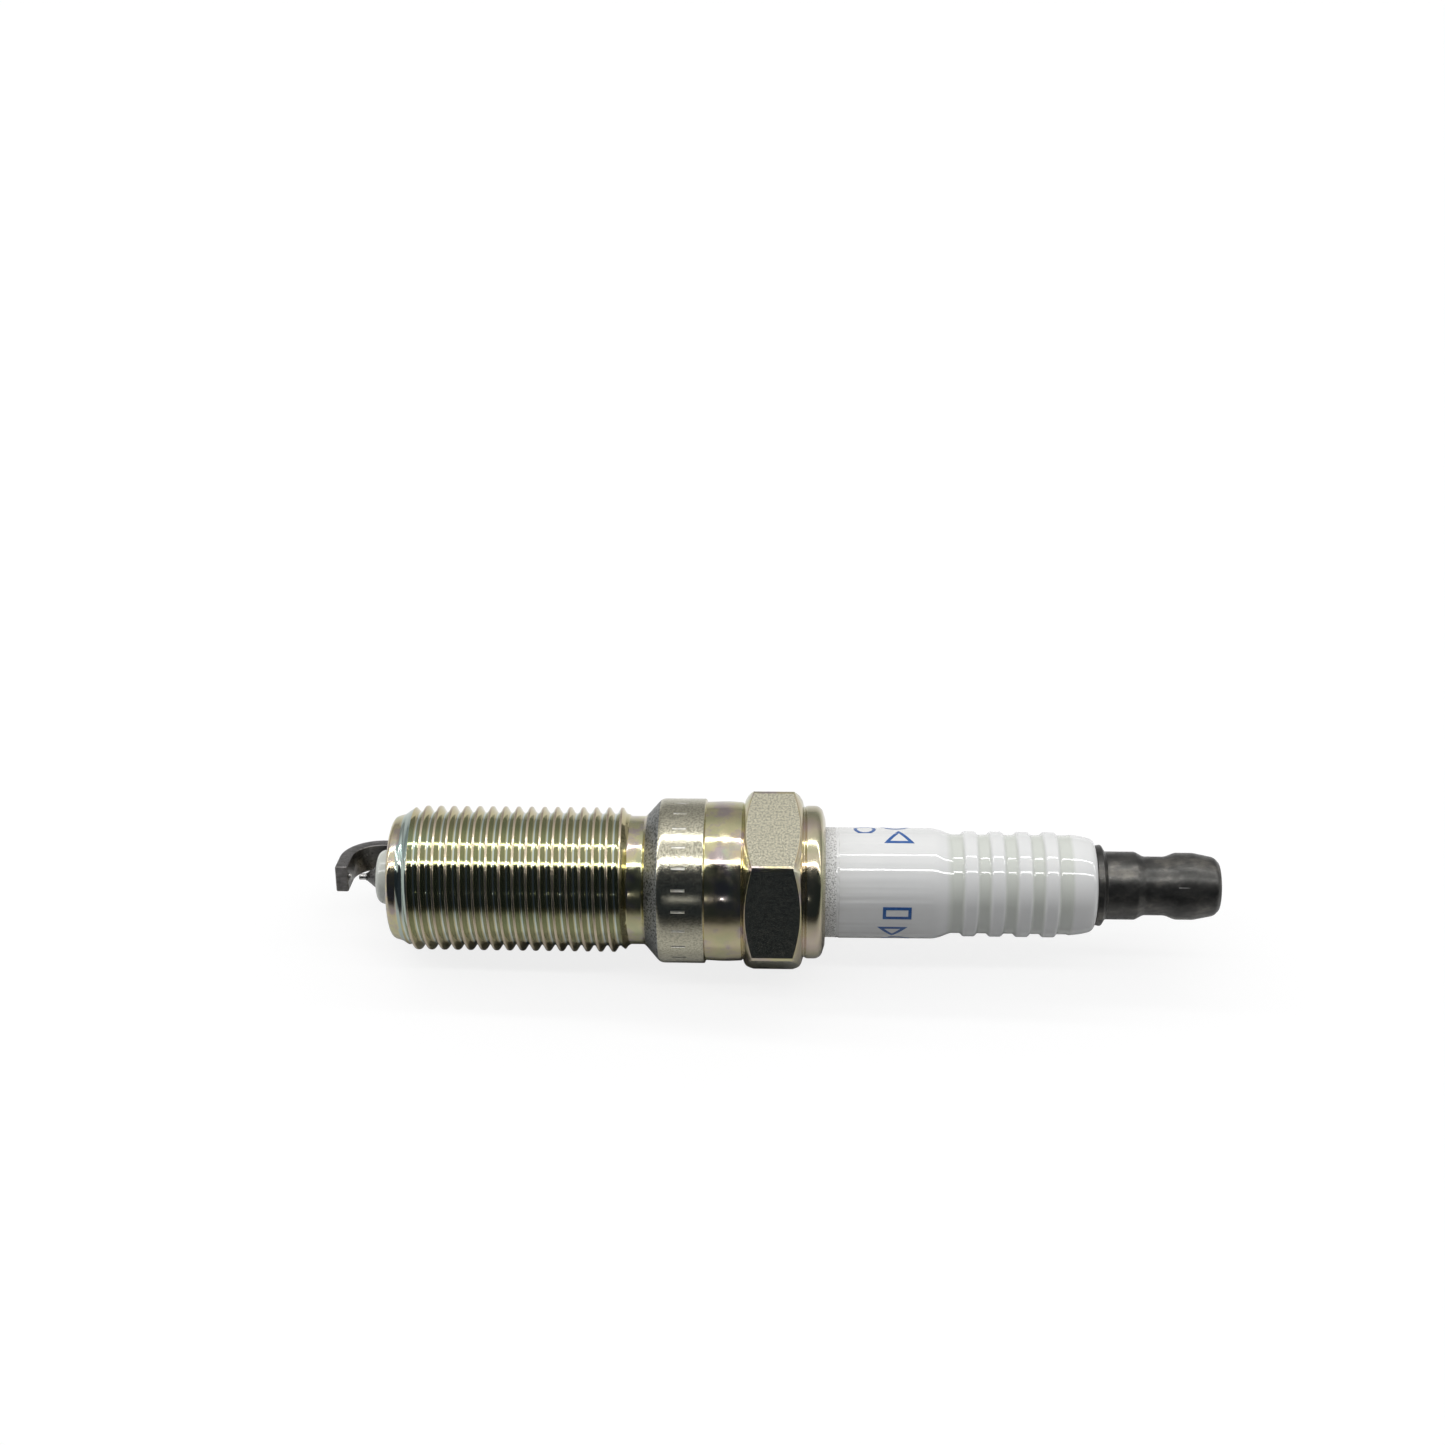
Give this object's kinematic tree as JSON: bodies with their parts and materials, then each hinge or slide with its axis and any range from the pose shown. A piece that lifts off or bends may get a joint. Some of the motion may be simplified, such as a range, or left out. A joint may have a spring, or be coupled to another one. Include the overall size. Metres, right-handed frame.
{
  "type": "spark plug",
  "caption": "Long-reach M14 spark plug with conical seat, 16 mm hexagon, ribbed white insulator, solid terminal and fine-wire electrode",
  "frame": {"origin": "on the plug's axis, in the gauge plane of the conical seat", "axes": "+X along the plug's axis from the sparking end towards the terminal, +Z square to a wrench flat, +Y across two hexagon corners"},
  "size_m": [0.0843, 0.0182, 0.016],
  "materials": {
    "zinc_plated_shell": "yellow-green chromated zinc over steel, bright on turned faces and grainy on pressed ones",
    "glazed_insulator": "glossy white glaze over alumina, matt next to the crimp",
    "nickel_alloy": "dull grey nickel alloy, wire drawn",
    "copper": "bare copper",
    "precious_metal": "fine-ground precious metal",
    "sealing_glass": "dark conductive glass and metal powder, fused",
    "resistor_body": "dark carbon and glass composite, fused",
    "packing_steel": "soft steel, bare",
    "talc": "pressed mineral powder",
    "oxidised_stud": "dark brown-grey heat-oxidised steel, semi-matt"
  },
  "bodies": {
    "root": {"shell": "zinc_plated_shell", "insulator": "glazed_insulator", "seat_packing": "packing_steel", "lower_packing_ring": "packing_steel", "talc_seal": "talc", "upper_packing_ring": "packing_steel", "centre_electrode": "nickel_alloy", "centre_electrode_core": "copper", "centre_electrode_tip": "precious_metal", "ground_electrode": "nickel_alloy", "ground_electrode_pad": "precious_metal", "lower_glass_seal": "sealing_glass", "resistor": "resistor_body", "upper_glass_seal": "sealing_glass", "terminal_stud": "oxidised_stud"}
  },
  "joints": []
}
